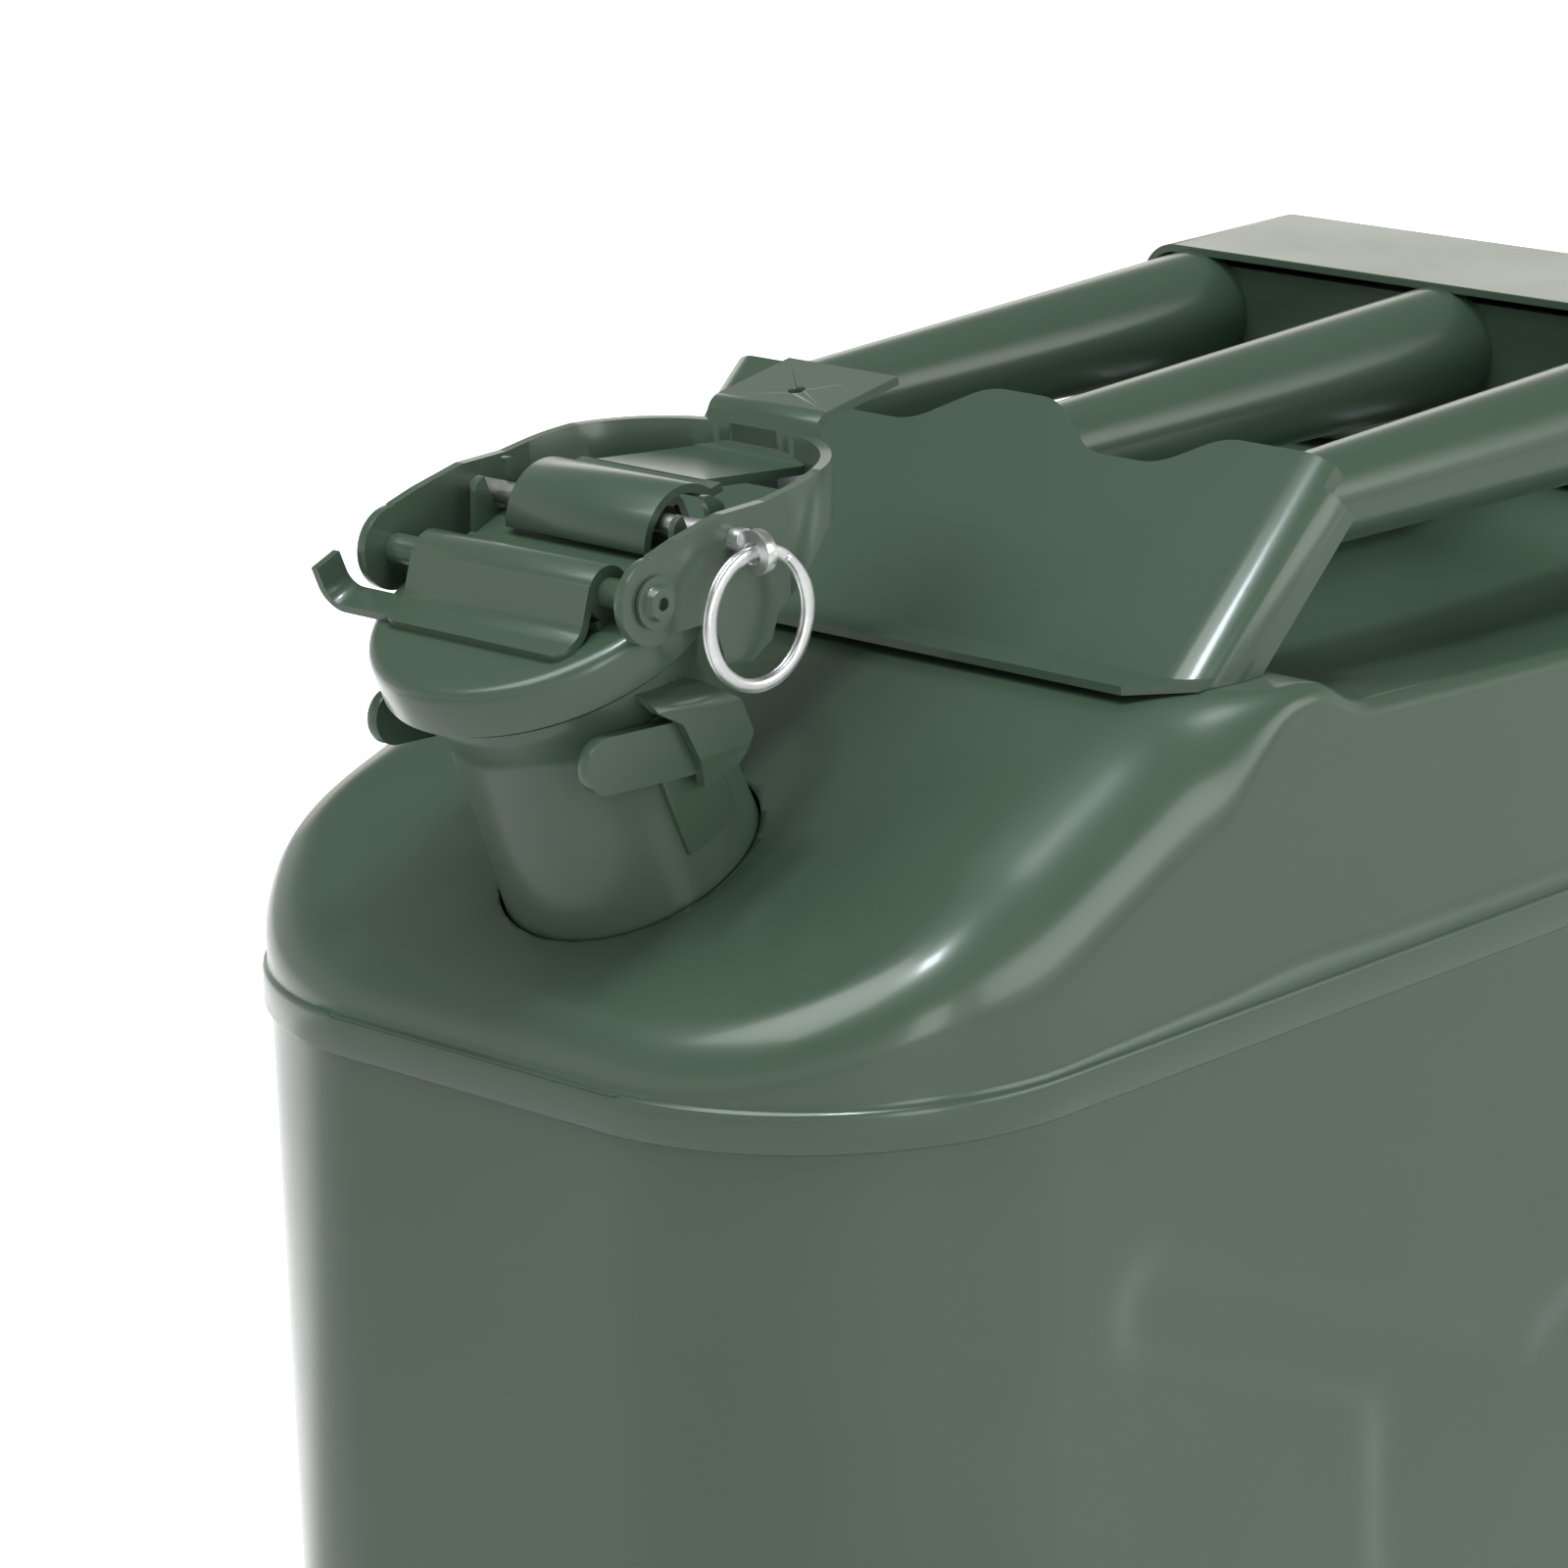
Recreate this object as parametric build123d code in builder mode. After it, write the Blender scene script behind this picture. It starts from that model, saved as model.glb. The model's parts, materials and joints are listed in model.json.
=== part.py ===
"""Twenty-litre steel jerry can with a cam-lever closure, a safety pin and a three-bar carrying handle.

Millimetres. X runs along the can, from the spout end (-X) to the back (+X). Y runs across it. Z is up.
The origin is under the middle of the overall box, cap included, on the surface that the can stands on.
"""

import os
from math import atan2, cos, degrees, radians, sin, tan

from build123d import *

# ---------------------------------------------------------------- driving dimensions
LENGTH = 345.0  # over the seam band
WIDTH = 165.0
OVERHANG = 6.74  # the cap stands out so far ahead of the seam band
MIDDLE_X = OVERHANG / 2  # middle of the body
CORNER_R = 52.5  # upright corners in plan
SEAM_Z = 366.5  # lower edge of the band where the top shell laps the body
SHEET = 1.0  # body and top sheet
SEAM_H = 6.9  # height of the lapped band
WALL_INSET = 0.3  # the top shell's walls and the base pan's stand this far inside the band
BODY_INSET = WALL_INSET + SHEET  # and the body's walls this far, so that they lap inside both
LAP = 6.0  # how far the body reaches into the band and into the base pan
TOP_EDGE_R = 8.0  # rolled edge round the top shell
BASE_Z = 14.0  # height of the rim of the base pan
BASE_EDGE_R = 7.0
BASE_RECESS = 4.0  # the middle of the base stands clear of the ground
BASE_RIM = 14.0  # width of the ring that the can stands on

SLOPE_RISE = 14.3  # height of the front slope above the seam, at the front face
SLOPE_DEG = 25.0
PLATEAU_H = 57.0  # plateaus under the two handle brackets, above the seam
RECESS_H = 50.0  # floor under the handle bars, above the seam
RECESS_FRONT = (118.0, 128.0)  # the step down to the floor, behind the front face
RECESS_BACK = (237.0, 246.0)
BACK_SLOPE_START = 330.0
BACK_SLOPE_H = 49.0
BEND_R = 12.0

# The pressed figure on each wide side: four sloping arms that run into a wide waist.
ARM_START = (66.0, 331.0)  # middle of the upper front arm's end: from the front face, and Z
ARM_SLOPE = 23.5
ARM_HALF = 10.0
WAIST_HALF = 45.0
FIGURE_DEPTH = 2.2
FIGURE_MID_Z = 187.0
FIGURE_CORNER_R = 8.0

NECK_FOOT = (37.9, 32.0)  # neck axis on the slope: behind the front face, above the seam
NECK_TILT = 22.0  # forward tilt of the neck
NECK_R = 21.3  # outside
NECK_FOOT_R = 22.4
NECK_BORE_R = 19.8
NECK_SINK = 4.0  # the neck reaches this far into the top shell
NECK_TOP = 44.5  # along the neck's own axis, from the slope
RIM_R = 24.4
RIM_H = 4.5

# Places in the neck's frame: (across, towards the back; along the axis, from the slope)
PIVOT = (-1.1, 55.8)  # rod on which the lever turns
LOCK = (18.3, 55.2)  # safety pin
HINGE = (32.8, 34.0)  # hinge pin of the lid
PIVOT_R = 2.5
LOCK_R = 1.9
HINGE_R = 2.2
FIT = 0.06  # radial running clearance of pins in holes

CAP_R = 28.2
CAP_TOP = 51.3
CAP_SKIRT = 8.2
CAP_SHEET = 1.2
SEAT_GAP = 0.4  # between the gasket and the rim
GASKET_R = (25.4, 26.9)  # outer lip of the gasket
GASKET_BOTTOM = 41.8
GASKET_HOLE_R = 17.0

BRIDGE_HALF = 20.5  # half width of the bridge plate on the cap
BRIDGE_FRONT = -15.0
ROLL_R = 4.4  # outside of the roll round the pivot rod
TAB = (-14.0, -8.6)  # thumb tab, across the neck
TAB_REACH = 10.0
TAB_CURL_R = 3.6

YOKE_HALF = 23.5
YOKE_SHEET = 1.3
STRAP_HALF = 7.0  # hinge strap behind the neck
KNUCKLE_R = 4.2

ARM_OUT = 30.6  # outer face of the lever arms, each side of the middle
ARM_SHEET = 1.8
ARM_BOSS_R = 7.0
LEVER_BACK = 71.0  # middle of the lever's back wall, behind the front face
LEVER_BEND_R = 24.5
TAIL_HALF = 12.5
BARREL_HALF = 16.0
BARREL = (20.5, 50.3)  # centre of the barrel in the neck's frame
BARREL_R = 8.9  # to the middle of the sheet
BARREL_ARC = (30.0, 158.0)
TAIL_SHEET = 1.5
TAIL_HOLE_R = 1.5

BAR_PITCH = 58.5
BAR_H = 79.3  # middle of the bars above the seam
BAR_R = (6.8, 11.3)  # at the foot of the front bracket and at the web; the bars taper
BAR_SHEET = 1.2
HANDLE_H = 91.3  # top of the back bracket above the seam
BRACKET_SHEET = 1.5
BRACKET_HALF = 71.0
BRACKET_BEND_R = 8.0
LEAN_DEG = 42.0
FRONT_FOOT = 98.0  # foot of the leaning plate behind the front face
FLANGE_DEPTH = 11.0
CREST = 51.0  # top edge of the leaning plate in the middle, up the slope from its foot
SIDE_CREST = 49.0  # and at both sides
TROUGH = 41.7  # and in the finger dips between the bars
FLANGE_DROP = 4.5  # the flanges end this far below the side crest
BACK_TOP = (248.0, 284.0)  # flat top of the back bracket, behind the front face
WEB_X = 250.5  # front face of the upright web under it
WEB_GAP = 1.8  # between the web and the flat top
LIP = 7.0

os.makedirs("parts", exist_ok=True)


def back_from_front(distance):
    """X of a point so far behind the front face."""
    return distance - LENGTH / 2 + MIDDLE_X


def above_seam(height):
    """Z of a point so far above the seam."""
    return SEAM_Z + height


def save(builder, name):
    """Labels a finished piece and writes it."""
    builder.part.label = name
    export_step(builder.part, f"parts/{name}.step")


def side_points(points):
    """Side-view points given from the front face and the seam, as sketch points on the middle plane."""
    return [(back_from_front(x), above_seam(z)) for x, z in points]


# Side views are drawn on the plane whose sketch axes are X and Z; its normal is -Y.
SIDE = Plane.XZ

NECK_X = back_from_front(NECK_FOOT[0])
NECK_Z = above_seam(NECK_FOOT[1])
TILT = radians(NECK_TILT)
NECK = Plane(origin=(NECK_X, 0, NECK_Z), x_dir=(cos(TILT), 0, sin(TILT)), z_dir=(-sin(TILT), 0, cos(TILT)))
# The neck seen from the side: sketch X is across the neck, sketch Y runs along its axis.
NECK_SIDE = Plane(origin=(NECK_X, 0, NECK_Z), x_dir=(cos(TILT), 0, sin(TILT)), z_dir=(0, -1, 0))


def neck_point(across, along, y=0.0):
    """A point of the neck's frame in the can's frame."""
    return NECK.from_local_coords(Vector(across, y, along))


def to_neck(x, z):
    """A side-view point, from the front face and the seam, in the neck's frame."""
    dx = x - NECK_FOOT[0]
    dz = z - NECK_FOOT[1]
    return (dx * cos(TILT) + dz * sin(TILT), dz * cos(TILT) - dx * sin(TILT))


# ---------------------------------------------------------------- body


def figure_outline(shrink):
    """Corners of the pressed figure from the body's middle, in order, made smaller by an amount."""
    start = Vector(ARM_START[0] - LENGTH / 2, ARM_START[1])
    along = Vector(cos(radians(ARM_SLOPE)), -sin(radians(ARM_SLOPE)))
    across = Vector(-along.Y, along.X)
    upper = start + across * (ARM_HALF - shrink) + along * shrink
    lower = start - across * (ARM_HALF - shrink) + along * shrink
    waist = WAIST_HALF - shrink
    front_top = [
        (upper.X, upper.Y),
        (lower.X, lower.Y),
        (-waist, lower.Y + (lower.X + waist) * tan(radians(ARM_SLOPE))),
    ]
    notch = upper.Y + upper.X * tan(radians(ARM_SLOPE))
    front = front_top + [(x, 2 * FIGURE_MID_Z - z) for x, z in reversed(front_top)]
    back = [(-x, z) for x, z in reversed(front)]
    return [(0, notch)] + front + [(0, 2 * FIGURE_MID_Z - notch)] + back


def wall_block(inset, low, high):
    """A solid of the plan outline, moved in by inset, between two heights."""
    with BuildPart() as block:
        with BuildSketch(Plane.XY.offset(low)):
            with Locations((MIDDLE_X, 0)):
                RectangleRounded(LENGTH - 2 * inset, WIDTH - 2 * inset, CORNER_R - inset)
        extrude(amount=high - low)
    return block.part


def pressed_block(inset, shrink):
    """The body's block with the figure pressed into both wide sides."""
    with BuildPart() as block:
        add(wall_block(inset, BASE_Z - LAP, SEAM_Z + LAP))
        for side in (-1, 1):
            wall = Plane(origin=(MIDDLE_X, side * (WIDTH / 2 - inset), 0), x_dir=(1, 0, 0), z_dir=(0, -1, 0))
            with BuildSketch(wall) as outline:
                with BuildLine():
                    Polyline(*figure_outline(shrink), close=True)
                make_face()
                fillet(outline.vertices(), FIGURE_CORNER_R)
            extrude(amount=side * FIGURE_DEPTH, taper=40, mode=Mode.SUBTRACT)
    return block.part


with BuildPart() as body_shell:
    add(pressed_block(BODY_INSET, 0.0))
    add(pressed_block(BODY_INSET + SHEET, -SHEET), mode=Mode.SUBTRACT)
save(body_shell, "body_shell")

with BuildPart() as base_pan:
    add(wall_block(WALL_INSET, 0.0, BASE_Z))
    fillet(base_pan.faces().sort_by(Axis.Z)[0].edges(), BASE_EDGE_R)
    add(wall_block(BODY_INSET, BASE_RECESS + SHEET, BASE_Z), mode=Mode.SUBTRACT)
    add(wall_block(BASE_RIM, 0.0, BASE_RECESS), mode=Mode.SUBTRACT)
save(base_pan, "base_pan")


# ---------------------------------------------------------------- top shell
SLOPE_TAN = tan(radians(SLOPE_DEG))
SLOPE_END = (PLATEAU_H - SLOPE_RISE) / SLOPE_TAN


def top_block(inset, lower, edge_r, bottom):
    """The top shell's block: plan outline moved in by inset, its top moved down by lower."""
    rise = SLOPE_RISE - lower / cos(radians(SLOPE_DEG))
    plateau = PLATEAU_H - lower
    floor = RECESS_H - lower
    with BuildPart() as block:
        add(wall_block(inset, bottom, above_seam(PLATEAU_H + 20)))
        with BuildSketch(SIDE) as over:
            with BuildLine():
                Polyline(
                    *side_points(
                        [
                            (-10, rise - 10 * SLOPE_TAN),
                            (SLOPE_END, plateau),
                            (RECESS_FRONT[0], plateau),
                            (RECESS_FRONT[1], floor),
                            (RECESS_BACK[0], floor),
                            (RECESS_BACK[1], plateau),
                            (BACK_SLOPE_START, plateau),
                            (LENGTH + 10, BACK_SLOPE_H - lower),
                            (LENGTH + 10, PLATEAU_H + 30),
                            (-10, PLATEAU_H + 30),
                        ]
                    ),
                    close=True,
                )
            make_face()
            bends = over.vertices().filter_by(lambda v: above_seam(floor - 1) < v.Y < above_seam(plateau + 1))
            fillet([v for v in bends if v.X < LENGTH / 2], BEND_R)
        extrude(amount=WIDTH, both=True, mode=Mode.SUBTRACT)
        fillet(block.edges().filter_by(is_rim), edge_r)
    return block.part


def is_rim(edge):
    """True for an edge that follows the outside of the plan outline round the top."""
    size = edge.bounding_box().size
    across_the_can = size.Y > WIDTH / 4 and size.X < 0.5 and abs(edge.center().X - MIDDLE_X) < LENGTH / 2 - 5
    upright = size.X < 0.01 and size.Y < 0.01
    return edge.center().Z > above_seam(SEAM_H + 1) and not across_the_can and not upright


with BuildPart() as top_shell:
    add(top_block(WALL_INSET, 0.0, TOP_EDGE_R, SEAM_Z + SEAM_H))
    add(wall_block(0.0, SEAM_Z, SEAM_Z + SEAM_H))
    add(top_block(WALL_INSET + SHEET, SHEET, TOP_EDGE_R - SHEET, SEAM_Z), mode=Mode.SUBTRACT)
    with BuildSketch(NECK.offset(-15)):
        Circle(NECK_FOOT_R)
    extrude(amount=30, mode=Mode.SUBTRACT)
save(top_shell, "top_shell")


# ---------------------------------------------------------------- filler neck
NECK_AXIS = Axis(NECK.origin, NECK.z_dir)
NECK_ACROSS = Axis(NECK.origin, NECK.x_dir)


def neck_outline(inner):
    """Outer outline of the neck, closed at a radius inner, in its side view."""
    return [
        (inner, -NECK_SINK),
        (NECK_FOOT_R, -NECK_SINK),
        (NECK_R, 16.0),
        (NECK_R, NECK_TOP - RIM_H - 9.0),
        (RIM_R, NECK_TOP - RIM_H),
        (RIM_R, NECK_TOP),
        (inner, NECK_TOP),
    ]


with BuildPart() as filler_neck:
    with BuildSketch(NECK_SIDE):
        with BuildLine():
            Polyline(*neck_outline(NECK_BORE_R), close=True)
        make_face()
    revolve(axis=NECK_AXIS)
    fillet(filler_neck.edges().filter_by(GeomType.CIRCLE).group_by(NECK_AXIS)[-1], 1.2)
save(filler_neck, "filler_neck")

with BuildPart() as neck_solid:
    with BuildSketch(NECK_SIDE):
        with BuildLine():
            Polyline(*neck_outline(0.0), close=True)
        make_face()
    revolve(axis=NECK_AXIS)


# ---------------------------------------------------------------- lugs on the neck
def mirrored(part, name):
    """Writes a piece and its mirror image on the other side of the can as name_near and name_far."""
    for side, piece in (("near", part), ("far", part.mirror(Plane.XZ))):
        piece.label = f"{name}_{side}"
        export_step(piece, f"parts/{name}_{side}.step")


LUG_PLATE = (-5.0, 8.0, 7.5, 33.0)  # across from, to; along from, to
LUG_SHEET = 1.2
HOOD_SIDE = [  # outline of the hooked keeper, from the front face and the seam
    (17.5, 67.6),
    (31.0, 66.6),
    (37.7, 62.5),
    (40.4, 56.6),
    (37.7, 51.8),
    (30.8, 48.3),
    (27.8, 55.0),
    (24.6, 61.0),
    (19.5, 63.8),
]
HOOD_OUT = 27.4  # how far out of the middle the keeper bulges
HOOD_SHEET = 1.6
TONGUE = ((9.6, 57.2), (27.5, 56.4))  # centres of the tongue's round ends
TONGUE_HALF = 4.7
TONGUE_OUT = 25.6
TONGUE_SHEET = 2.2

with BuildPart() as neck_sleeve:
    with BuildSketch(NECK):
        Circle(NECK_R + LUG_SHEET)
        Circle(NECK_R, mode=Mode.SUBTRACT)
    extrude(amount=NECK_TOP)

with BuildPart() as lug_plate:
    with BuildSketch(NECK_SIDE):
        with BuildLine():
            Polyline(
                (LUG_PLATE[0], LUG_PLATE[2]),
                (LUG_PLATE[1], LUG_PLATE[2]),
                (LUG_PLATE[1], LUG_PLATE[3]),
                (LUG_PLATE[0], LUG_PLATE[3]),
                close=True,
            )
        make_face()
    extrude(amount=40)
    add(neck_sleeve.part, mode=Mode.INTERSECT)
    add(neck_solid.part, mode=Mode.SUBTRACT)
mirrored(lug_plate.part, "lug_plate")


def middle(a, b):
    """The point half way between two side-view points, as a sketch point."""
    return side_points([((a[0] + b[0]) / 2, (a[1] + b[1]) / 2)])[0]


TONGUE_ANGLE = degrees(atan2(TONGUE[1][1] - TONGUE[0][1], TONGUE[1][0] - TONGUE[0][0]))
with BuildPart() as tongue:
    with BuildSketch(SIDE.offset(TONGUE_OUT - TONGUE_SHEET)):
        with Locations(middle(*TONGUE)):
            SlotCenterToCenter(TONGUE[1][0] - TONGUE[0][0], 2 * TONGUE_HALF, rotation=TONGUE_ANGLE)
    extrude(amount=TONGUE_SHEET)
    with BuildSketch(SIDE.offset(NECK_R - 8.0)):
        with Locations(side_points([TONGUE[1]])[0]):
            Rectangle(TONGUE_HALF, 1.6 * TONGUE_HALF)
    extrude(amount=TONGUE_OUT - TONGUE_SHEET - NECK_R + 8.0)
    add(neck_solid.part, mode=Mode.SUBTRACT)
    add(lug_plate.part, mode=Mode.SUBTRACT)
mirrored(tongue.part, "lug_tongue")

# The keeper is an inverted J seen along the can, cut to a hook seen from the side.
with BuildPart() as keeper_strip:
    with BuildSketch(Plane.YZ.offset(back_from_front(10))):
        with BuildLine() as keeper_line:
            FilletPolyline(
                (-NECK_R + 4.0, above_seam(66.2)),
                (-HOOD_OUT + HOOD_SHEET / 2, above_seam(66.2)),
                (-HOOD_OUT + HOOD_SHEET / 2, above_seam(54.0)),
                (-NECK_R - 1.8, above_seam(44.0)),
                radius=4.0,
            )
        trace(line_width=HOOD_SHEET)
    extrude(amount=40)

with BuildPart() as keeper:
    with BuildSketch(SIDE) as keeper_outline:
        with BuildLine():
            Polyline(*side_points(HOOD_SIDE), close=True)
        make_face()
        fillet(keeper_outline.vertices().sort_by(Axis.X)[2:], 1.6)
    extrude(amount=40)
    add(keeper_strip.part, mode=Mode.INTERSECT)
    add(neck_solid.part, mode=Mode.SUBTRACT)
    add(lug_plate.part, mode=Mode.SUBTRACT)
    add(tongue.part, mode=Mode.SUBTRACT)
mirrored(keeper.part, "lug_keeper")

# ---------------------------------------------------------------- hinge behind the neck
EAR_SHEET = 2.2
EAR_GAP = 0.4
EAR_R = 4.2
EAR_SIDE = [(12.0, 20.0), (27.0, 20.0), (36.9, 33.0), (34.5, 37.8), (31.0, 37.8), (12.0, 36.0)]

with BuildPart() as hinge_bracket:
    for side in (-1, 1):
        low = STRAP_HALF + EAR_GAP if side > 0 else -STRAP_HALF - EAR_GAP - EAR_SHEET
        with BuildSketch(NECK_SIDE.offset(-low - EAR_SHEET)) as ear:
            with BuildLine():
                Polyline(*EAR_SIDE, close=True)
            make_face()
            with Locations(HINGE):
                Circle(EAR_R)
                Circle(HINGE_R + FIT, mode=Mode.SUBTRACT)
        extrude(amount=EAR_SHEET)
    with BuildSketch(NECK_SIDE) as back_plate:
        with BuildLine():
            Polyline((12.0, 20.0), (23.2, 20.0), (23.2, 29.0), (12.0, 29.0), close=True)
        make_face()
    extrude(amount=STRAP_HALF + EAR_GAP + EAR_SHEET, both=True)
    add(neck_solid.part, mode=Mode.SUBTRACT)
save(hinge_bracket, "hinge_bracket")

PIN_HALF = STRAP_HALF + EAR_GAP + EAR_SHEET + 1.2
with BuildPart() as hinge_pin:
    with BuildSketch(NECK_SIDE.offset(-PIN_HALF)):
        with Locations(HINGE):
            Circle(HINGE_R)
    extrude(amount=2 * PIN_HALF)
    chamfer(hinge_pin.edges().filter_by(GeomType.CIRCLE), 0.4)
save(hinge_pin, "hinge_pin")

# ---------------------------------------------------------------- lid
with BuildPart() as cap_disc:
    with BuildSketch(NECK_SIDE):
        with BuildLine():
            Polyline(
                (0, CAP_TOP),
                (CAP_R, CAP_TOP),
                (CAP_R, CAP_TOP - CAP_SKIRT),
                (CAP_R - CAP_SHEET, CAP_TOP - CAP_SKIRT),
                (CAP_R - CAP_SHEET, CAP_TOP - CAP_SHEET),
                (0, CAP_TOP - CAP_SHEET),
                close=True,
            )
        make_face()
    revolve(axis=NECK_AXIS)
    fillet(cap_disc.edges().filter_by(GeomType.CIRCLE).group_by(NECK_AXIS)[-1], 2.4)
save(cap_disc, "cap_disc")

with BuildPart() as cap_gasket:
    with BuildSketch(NECK_SIDE):
        with BuildLine():
            Polyline(
                (GASKET_HOLE_R, CAP_TOP - CAP_SHEET),
                (GASKET_R[1], CAP_TOP - CAP_SHEET),
                (GASKET_R[1], GASKET_BOTTOM),
                (GASKET_R[0], GASKET_BOTTOM),
                (GASKET_R[0], NECK_TOP + SEAT_GAP),
                (GASKET_HOLE_R, NECK_TOP + SEAT_GAP),
                close=True,
            )
        make_face()
    revolve(axis=NECK_AXIS)
    chamfer(cap_gasket.edges().filter_by(GeomType.CIRCLE).group_by(NECK_AXIS)[0], 0.4)
save(cap_gasket, "cap_gasket")

with BuildPart() as gasket_washer:
    with BuildSketch(NECK.offset(CAP_TOP - CAP_SHEET - 3.0)):
        Circle(GASKET_HOLE_R)
        Circle(3.0, mode=Mode.SUBTRACT)
    extrude(amount=3.0)
save(gasket_washer, "gasket_washer")

# Bridge plate: flat on the cap in front, rolled round the pivot rod behind.
with BuildPart() as lid_bridge:
    with BuildSketch(NECK_SIDE) as bridge_section:
        with BuildLine() as bridge_line:
            FilletPolyline(
                (BRIDGE_FRONT, CAP_TOP + TAIL_SHEET / 2),
                (PIVOT[0] - 8.0, CAP_TOP + TAIL_SHEET / 2),
                (PIVOT[0] - 2.6, PIVOT[1] + ROLL_R - 1.6),
                radius=5.0,
            )
        trace(line_width=TAIL_SHEET)
        with Locations(PIVOT):
            Circle(ROLL_R)
        with Locations((PIVOT[0], CAP_TOP + TAIL_SHEET / 2)):
            Rectangle(2 * ROLL_R, TAIL_SHEET)
        with Locations(PIVOT):
            Circle(PIVOT_R, mode=Mode.SUBTRACT)
    extrude(amount=BRIDGE_HALF, both=True)
    corners = lid_bridge.edges().filter_by(NECK_AXIS).group_by(NECK_ACROSS)[0]
    fillet(corners, 3.0)
    with BuildSketch(Plane(origin=neck_point(TAB[0], 0), x_dir=(0, 1, 0), z_dir=NECK.x_dir)):
        with BuildLine():
            FilletPolyline(
                (BRIDGE_HALF - 3.0, CAP_TOP + TAIL_SHEET / 2),
                (BRIDGE_HALF + TAB_REACH + TAB_CURL_R, CAP_TOP + TAIL_SHEET / 2),
                (BRIDGE_HALF + TAB_REACH + TAB_CURL_R, CAP_TOP + 8.0),
                radius=TAB_CURL_R,
            )
        trace(line_width=TAIL_SHEET)
    extrude(amount=TAB[1] - TAB[0])
save(lid_bridge, "lid_bridge")

ROD_HALF = ARM_OUT + 0.9
with BuildPart() as pivot_rod:
    with BuildSketch(NECK_SIDE.offset(-ROD_HALF)):
        with Locations(PIVOT):
            Circle(PIVOT_R)
    extrude(amount=2 * ROD_HALF)
    for side in (-1, 1):
        face = side * (ARM_OUT + 0.2)
        with BuildSketch(NECK_SIDE.offset(face)):
            with Locations(PIVOT):
                Circle(4.2)
        extrude(amount=side * 0.7)
        with BuildSketch(NECK_SIDE.offset(face + side * 0.7)):
            with Locations(PIVOT):
                Circle(3.0)
        extrude(amount=side * 1.3, taper=20)
        with BuildSketch(NECK_SIDE.offset(face + side * 2.0)):
            with Locations(PIVOT):
                Circle(1.1)
        extrude(amount=-side * 1.6, mode=Mode.SUBTRACT)
save(pivot_rod, "pivot_rod")

# Yoke: a plate on the cap with two ears for the safety pin and the hinge strap behind.
YOKE = (PIVOT[0] + ROLL_R + 0.3, 26.0)
EAR = (12.5, 25.0)  # across from, to
EAR_TOP = 60.0
SLOT_HALF = LOCK_R + 0.7
YOKE_PLAN = [(YOKE[0], YOKE_HALF), (EAR[0] + 4, YOKE_HALF), (YOKE[1], 9.0)]  # half of the plate
EAR_VIEW = [
    (EAR[0] - 3, CAP_TOP),
    (EAR[1] - 5, CAP_TOP),
    (EAR[1], EAR_TOP - 4),
    (EAR[1] - 3, EAR_TOP),
    (EAR[0] + 1, EAR_TOP),
]

with BuildPart() as lid_yoke:
    with BuildSketch(NECK.offset(CAP_TOP)):
        with BuildLine():
            Polyline(*YOKE_PLAN, *[(x, -y) for x, y in reversed(YOKE_PLAN)], close=True)
        make_face()
    extrude(amount=YOKE_SHEET)
    for side in (-1, 1):
        low = YOKE_HALF - YOKE_SHEET if side > 0 else -YOKE_HALF
        with BuildSketch(NECK_SIDE.offset(-low - YOKE_SHEET)) as ear:
            with BuildLine():
                Polyline(*EAR_VIEW, close=True)
            make_face()
            fillet(ear.vertices().filter_by(lambda v: v.Y > CAP_TOP + 2), 2.2)
            with Locations(LOCK):
                Circle(SLOT_HALF, mode=Mode.SUBTRACT)
            with Locations((LOCK[0], LOCK[1] + 5)):
                Rectangle(2 * SLOT_HALF, 10, mode=Mode.SUBTRACT)
        extrude(amount=YOKE_SHEET)
    with BuildSketch(NECK_SIDE):
        with BuildLine():
            FilletPolyline(
                (YOKE[1] - 4, CAP_TOP + YOKE_SHEET / 2),
                (CAP_R + 0.3 + YOKE_SHEET / 2, CAP_TOP + YOKE_SHEET / 2),
                (HINGE[0] - KNUCKLE_R + YOKE_SHEET / 2, HINGE[1]),
                radius=1.2,
            )
        trace(line_width=YOKE_SHEET)
        with Locations(HINGE):
            Circle(KNUCKLE_R)
            Circle(HINGE_R + FIT, mode=Mode.SUBTRACT)
    extrude(amount=STRAP_HALF, both=True)
save(lid_yoke, "lid_yoke")

# ---------------------------------------------------------------- closing lever
LEVER_SIDE = [  # outline of an arm and its claw, from the front face and the seam
    (15.0, 90.3),
    (21.5, 92.2),
    (31.5, 94.4),
    (41.3, 94.6),
    (56.0, 96.7),
    (80.0, 97.6),
    (80.0, 88.4),
    (57.5, 86.3),
    (50.0, 80.6),
    (43.5, 76.0),
    (42.0, 72.0),
    (37.5, 69.4),
    (31.5, 70.0),
    (29.0, 77.6),
    (20.0, 77.4),
]
TAIL_TOP = [(45.9, 94.0), (69.8, 91.8), (73.4, 99.6), (91.8, 102.75)]  # middle of the sheet
TAIL_HOLE_X = 80.5

pivot_x, pivot_z = (neck_point(*PIVOT).X, neck_point(*PIVOT).Z)

with BuildPart() as lever_side_shape:
    with BuildSketch(SIDE) as lever_outline:
        with BuildLine():
            Polyline(*side_points(LEVER_SIDE), close=True)
        make_face()
        fillet(lever_outline.vertices(), 1.2)
        with Locations((pivot_x, pivot_z)):
            Circle(ARM_BOSS_R)
        with Locations((pivot_x, pivot_z)):
            Circle(PIVOT_R + FIT, mode=Mode.SUBTRACT)
        with Locations((neck_point(*LOCK).X, neck_point(*LOCK).Z)):
            Circle(LOCK_R + FIT, mode=Mode.SUBTRACT)
    extrude(amount=WIDTH / 2, both=True)

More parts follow.
